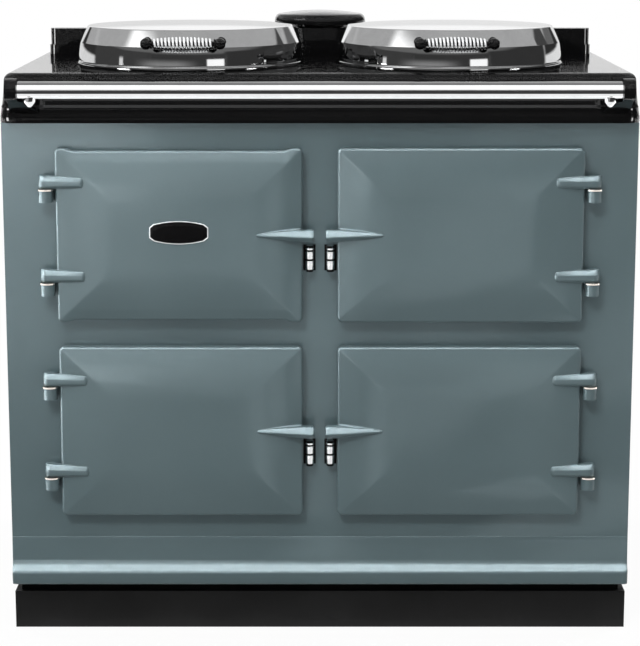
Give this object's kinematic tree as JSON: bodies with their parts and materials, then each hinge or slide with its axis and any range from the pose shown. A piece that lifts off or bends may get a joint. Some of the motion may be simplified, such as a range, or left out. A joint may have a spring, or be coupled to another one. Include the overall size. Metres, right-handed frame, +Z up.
{
  "type": "range cooker",
  "caption": "Freestanding enamelled cast iron range cooker with hinged oven doors, round hotplates under hinged chrome lids, a handrail and a rear vent.",
  "frame": {"origin": "centre of the whole footprint, at floor level", "axes": "+X to the right as seen from the front, +Y to the rear, +Z up; the doors face -Y"},
  "size_m": [0.987, 0.737, 0.962],
  "materials": {
    "body_enamel": "gloss",
    "black_enamel": "gloss",
    "black_steel": "matte",
    "chrome": "polished",
    "steel": "satin",
    "aluminium": "satin",
    "brass": "satin",
    "cast_iron": "matte",
    "element": "matte",
    "insulation": "matte",
    "rope_seal": "matte",
    "knob": "gloss"
  },
  "bodies": {
    "casing": {"plinth": "black_steel", "base_frame": "black_steel", "levelling_feet": "steel", "base_moulding": "body_enamel", "front_plate": "body_enamel", "side_panels": "body_enamel", "back_panel": "steel", "panel_screws": "steel", "top_plate": "black_enamel", "rear_upstand": "black_enamel", "vent_cap": "black_enamel", "vent_duct": "steel", "handrail": "chrome", "rail_brackets": "black_enamel", "roasting_oven": "cast_iron", "simmering_oven": "cast_iron", "baking_oven": "cast_iron", "oven_shelves": "chrome", "door_seals": "rope_seal", "heating_elements": "element", "inner_supports": "steel", "insulation": "insulation", "boiling_plate": "cast_iron", "simmering_plate": "cast_iron", "hotplate_rings": "chrome", "lid_hinge_pins": "steel", "control_panel": "black_enamel", "terminal_box": "steel", "hinge_pins": "steel", "hinge_washers": "brass", "catch_brackets": "black_enamel"},
    "control_door": {"control_door": "body_enamel", "control_door_liner": "aluminium", "badge_plate": "chrome"},
    "roasting_door": {"roasting_door": "body_enamel", "roasting_door_liner": "aluminium", "roasting_door_pad": "insulation"},
    "baking_door": {"baking_door": "body_enamel", "baking_door_liner": "aluminium", "baking_door_pad": "insulation"},
    "simmering_door": {"simmering_door": "body_enamel", "simmering_door_liner": "aluminium", "simmering_door_pad": "insulation"},
    "control_roller": {"control_roller": "chrome"},
    "roasting_roller": {"roasting_roller": "chrome"},
    "baking_roller": {"baking_roller": "chrome"},
    "simmering_roller": {"simmering_roller": "chrome"},
    "boiling_lid": {"boiling_lid": "chrome", "boiling_lid_liner": "steel", "boiling_lid_arm": "black_enamel", "boiling_lid_coil": "chrome", "boiling_lid_posts": "black_enamel"},
    "simmering_lid": {"simmering_lid": "chrome", "simmering_lid_liner": "steel", "simmering_lid_arm": "black_enamel", "simmering_lid_coil": "chrome", "simmering_lid_posts": "black_enamel"},
    "boiling_knob": {"boiling_knob": "knob"},
    "oven_knob": {"oven_knob": "knob"},
    "simmering_knob": {"simmering_knob": "knob"}
  },
  "joints": [
    {"name": "control_door_hinge", "type": "hinge", "parent": "casing", "child": "control_door", "pos_m": [-0.422, -0.3075, 0.64], "axis": [0, 0, -1], "range_deg": [0, 120]},
    {"name": "roasting_door_hinge", "type": "hinge", "parent": "casing", "child": "roasting_door", "pos_m": [0.422, -0.3075, 0.64], "axis": [0, 0, 1], "range_deg": [0, 120]},
    {"name": "baking_door_hinge", "type": "hinge", "parent": "casing", "child": "baking_door", "pos_m": [-0.422, -0.3075, 0.3295], "axis": [0, 0, -1], "range_deg": [0, 120]},
    {"name": "simmering_door_hinge", "type": "hinge", "parent": "casing", "child": "simmering_door", "pos_m": [0.422, -0.3075, 0.3295], "axis": [0, 0, 1], "range_deg": [0, 120]},
    {"name": "control_roller_spin", "type": "hinge", "parent": "casing", "child": "control_roller", "pos_m": [-0.016, -0.3005, 0.6035], "axis": [0, 0, 1], "continuous": true},
    {"name": "roasting_roller_spin", "type": "hinge", "parent": "casing", "child": "roasting_roller", "pos_m": [0.016, -0.3005, 0.6035], "axis": [0, 0, 1], "continuous": true},
    {"name": "baking_roller_spin", "type": "hinge", "parent": "casing", "child": "baking_roller", "pos_m": [-0.016, -0.3005, 0.293], "axis": [0, 0, 1], "continuous": true},
    {"name": "simmering_roller_spin", "type": "hinge", "parent": "casing", "child": "simmering_roller", "pos_m": [0.016, -0.3005, 0.293], "axis": [0, 0, 1], "continuous": true},
    {"name": "boiling_lid_hinge", "type": "hinge", "parent": "casing", "child": "boiling_lid", "pos_m": [-0.211, 0.1606, 0.919], "axis": [-1, 0, 0], "range_deg": [0, 97]},
    {"name": "simmering_lid_hinge", "type": "hinge", "parent": "casing", "child": "simmering_lid", "pos_m": [0.211, 0.1606, 0.919], "axis": [-1, 0, 0], "range_deg": [0, 97]},
    {"name": "boiling_knob_turn", "type": "hinge", "parent": "casing", "child": "boiling_knob", "pos_m": [-0.307, -0.2465, 0.64], "axis": [0, 1, 0], "range_deg": [0, 270]},
    {"name": "oven_knob_turn", "type": "hinge", "parent": "casing", "child": "oven_knob", "pos_m": [-0.217, -0.2465, 0.64], "axis": [0, 1, 0], "range_deg": [0, 270]},
    {"name": "simmering_knob_turn", "type": "hinge", "parent": "casing", "child": "simmering_knob", "pos_m": [-0.127, -0.2465, 0.64], "axis": [0, 1, 0], "range_deg": [0, 270]}
  ]
}
